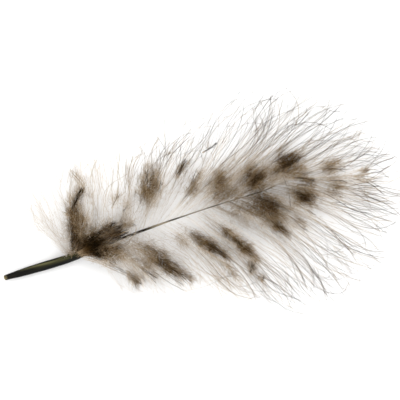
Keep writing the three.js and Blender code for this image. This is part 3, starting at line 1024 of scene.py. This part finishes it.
# Where along the shaft the painted shade and highlight across the quill show.
SHADE_AND_HIGHLIGHT_ALONG = [(0.05, "#000000"), (0.13, "#c8c8c8"), (0.19, "#d8d8d8"), (0.26, "#000000")]
STREAK_STOPS = [(0.4, "#4c4c46"), (0.6, "#ffffff")]


def quill_material():
    """Glossy keratin: colours along the quill, painted shade and highlight across it, and fine fibres."""
    material, tree, shader = new_material("quill_keratin")
    place = add_node(tree, "ShaderNodeTexCoord").outputs["Object"]
    parts = add_node(tree, "ShaderNodeSeparateXYZ", {"Vector": place})
    shares = []
    for axis, name, ends in ((0, "X", RAMP_ENDS), (1, "Y", SHADE_AND_HIGHLIGHT_EDGES)):
        low, high = (float(to_frame([end] * 3)[axis]) for end in ends)
        limits = {"From Min": low, "From Max": high}
        share = add_node(tree, "ShaderNodeMapRange", {"Value": parts.outputs[name]}, **limits)
        shares.append(share.outputs["Result"])
    scale = [1 / (size * MM) for size in (FIBRE_LENGTH, FIBRE_WIDTH, FIBRE_WIDTH)]
    stretched = add_node(tree, "ShaderNodeMapping", {"Vector": place}, Scale=scale)
    flow = {"Vector": stretched.outputs["Vector"]}
    fibres = add_node(tree, "ShaderNodeTexNoise", flow, Scale=1.0, Detail=4.0).outputs["Fac"]
    ramps = []
    for value, stops in (
        (shares[0], ALONG_STOPS),
        (shares[1], OLIVE_SHADE_AND_HIGHLIGHT_STOPS),
        (shares[0], SHADE_AND_HIGHLIGHT_ALONG),
        (fibres, STREAK_STOPS),
    ):
        ramp = add_node(tree, "ShaderNodeValToRGB", {"Fac": value})
        set_ramp(ramp, stops)
        ramps.append(ramp.outputs["Color"])
    # Here the painted shade and highlight across the quill are mixed over its colours along it.
    colours = {MIX_A: ramps[0], MIX_B: ramps[1], "Factor": ramps[2]}
    body = add_node(tree, "ShaderNodeMix", colours, data_type="RGBA")
    colours = {MIX_A: body.outputs[MIX_RESULT], MIX_B: ramps[3]}
    mixed = add_node(tree, "ShaderNodeMix", colours, **MULTIPLY)
    tree.links.new(mixed.outputs[MIX_RESULT], shader.inputs["Base Color"])
    depth = FIBRE_DEPTH * MM
    bump = add_node(tree, "ShaderNodeBump", {"Height": fibres}, Strength=0.3, Distance=depth)
    tree.links.new(bump.outputs["Normal"], shader.inputs["Normal"])
    shader.inputs["Roughness"].default_value = 0.38
    shader.inputs["Specular IOR Level"].default_value = 0.08
    shader.inputs["IOR"].default_value = 1.55
    return material


quill_keratin = quill_material()
print("made", quill_keratin.name)

# %% [markdown]
# ## Joining the pieces to the frame
#
# The feather is one body, so every piece rides on it, and together they take the solid's place.

# %% Joining the pieces to the frame
shaft.data.materials.append(quill_keratin)
for piece in barb_pieces + down:
    piece.data.materials.append(down_keratin)
for piece in [shaft] + barb_pieces + down:
    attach(piece, "root")
    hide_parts("feather")
print(1 + len(barb_pieces) + len(down), "pieces take the place of the solid")

# %% [markdown]
# ## The table and the light
#
# The feather lies on plain white, lit so brightly and evenly that no shadow is left. A white world
# gives the even part, and one large soft lamp beyond the feather's upper side gives it some form.

# %% The table and the light
scene = bpy.context.scene
scene.view_settings.view_transform = "Standard"
table_bm = bmesh.new()
bmesh.ops.create_grid(table_bm, x_segments=1, y_segments=1, size=3.0)
table = add_built("table", table_bm)
white, white_tree, white_shader = new_material("white_card")
white_shader.inputs["Base Color"].default_value = linear("#f4f4f4")
white_shader.inputs["Roughness"].default_value = 0.9
table.data.materials.append(white)

world = bpy.data.worlds.new("bright_room")
scene.world = world
world.use_nodes = True
background = world.node_tree.nodes["Background"]
background.inputs["Color"].default_value = (1, 1, 1, 1)
background.inputs["Strength"].default_value = 1.45

TILT = math.radians(17)  # how steeply the shaft rises to the right in the picture
picture_up = Vector((math.sin(TILT), math.cos(TILT), 0))
lamp_data = bpy.data.lights.new("softbox", "AREA")
lamp_data.shape = "DISK"
lamp_data.size = 0.5
lamp_data.energy = 0.9
lamp = bpy.data.objects.new("softbox", lamp_data)
lamp.location = 0.45 * picture_up + Vector((0, 0, 0.5))
lamp.rotation_euler = (-lamp.location).to_track_quat("-Z", "Y").to_euler()
scene.collection.objects.link(lamp)
print("the softbox is", round(lamp.location.length, 2), "m away")

# %% [markdown]
# ## The camera
#
# It looks straight down. The picture is as wide as 97.8 mm of feather, and the feather's cut end is
# at its left edge, so the place under the camera follows from the feather's own millimetres. A long
# lens keeps the picture flat.

# %% The camera
PICTURE_WIDTH = 97.8  # mm
UNDER_CAMERA = np.array([52.1, 3.8, 4.0])  # mm
camera_data = bpy.data.cameras.new("camera")
camera_data.lens = 200
camera_data.sensor_width = 36
camera = bpy.data.objects.new("camera", camera_data)
distance = PICTURE_WIDTH * MM * camera_data.lens / camera_data.sensor_width
camera.location = Vector(to_frame(UNDER_CAMERA)) + Vector((0, 0, distance))
camera.rotation_euler = (0, 0, -TILT)
scene.collection.objects.link(camera)
scene.camera = camera
print("the camera is", round(distance, 3), "m above the feather")
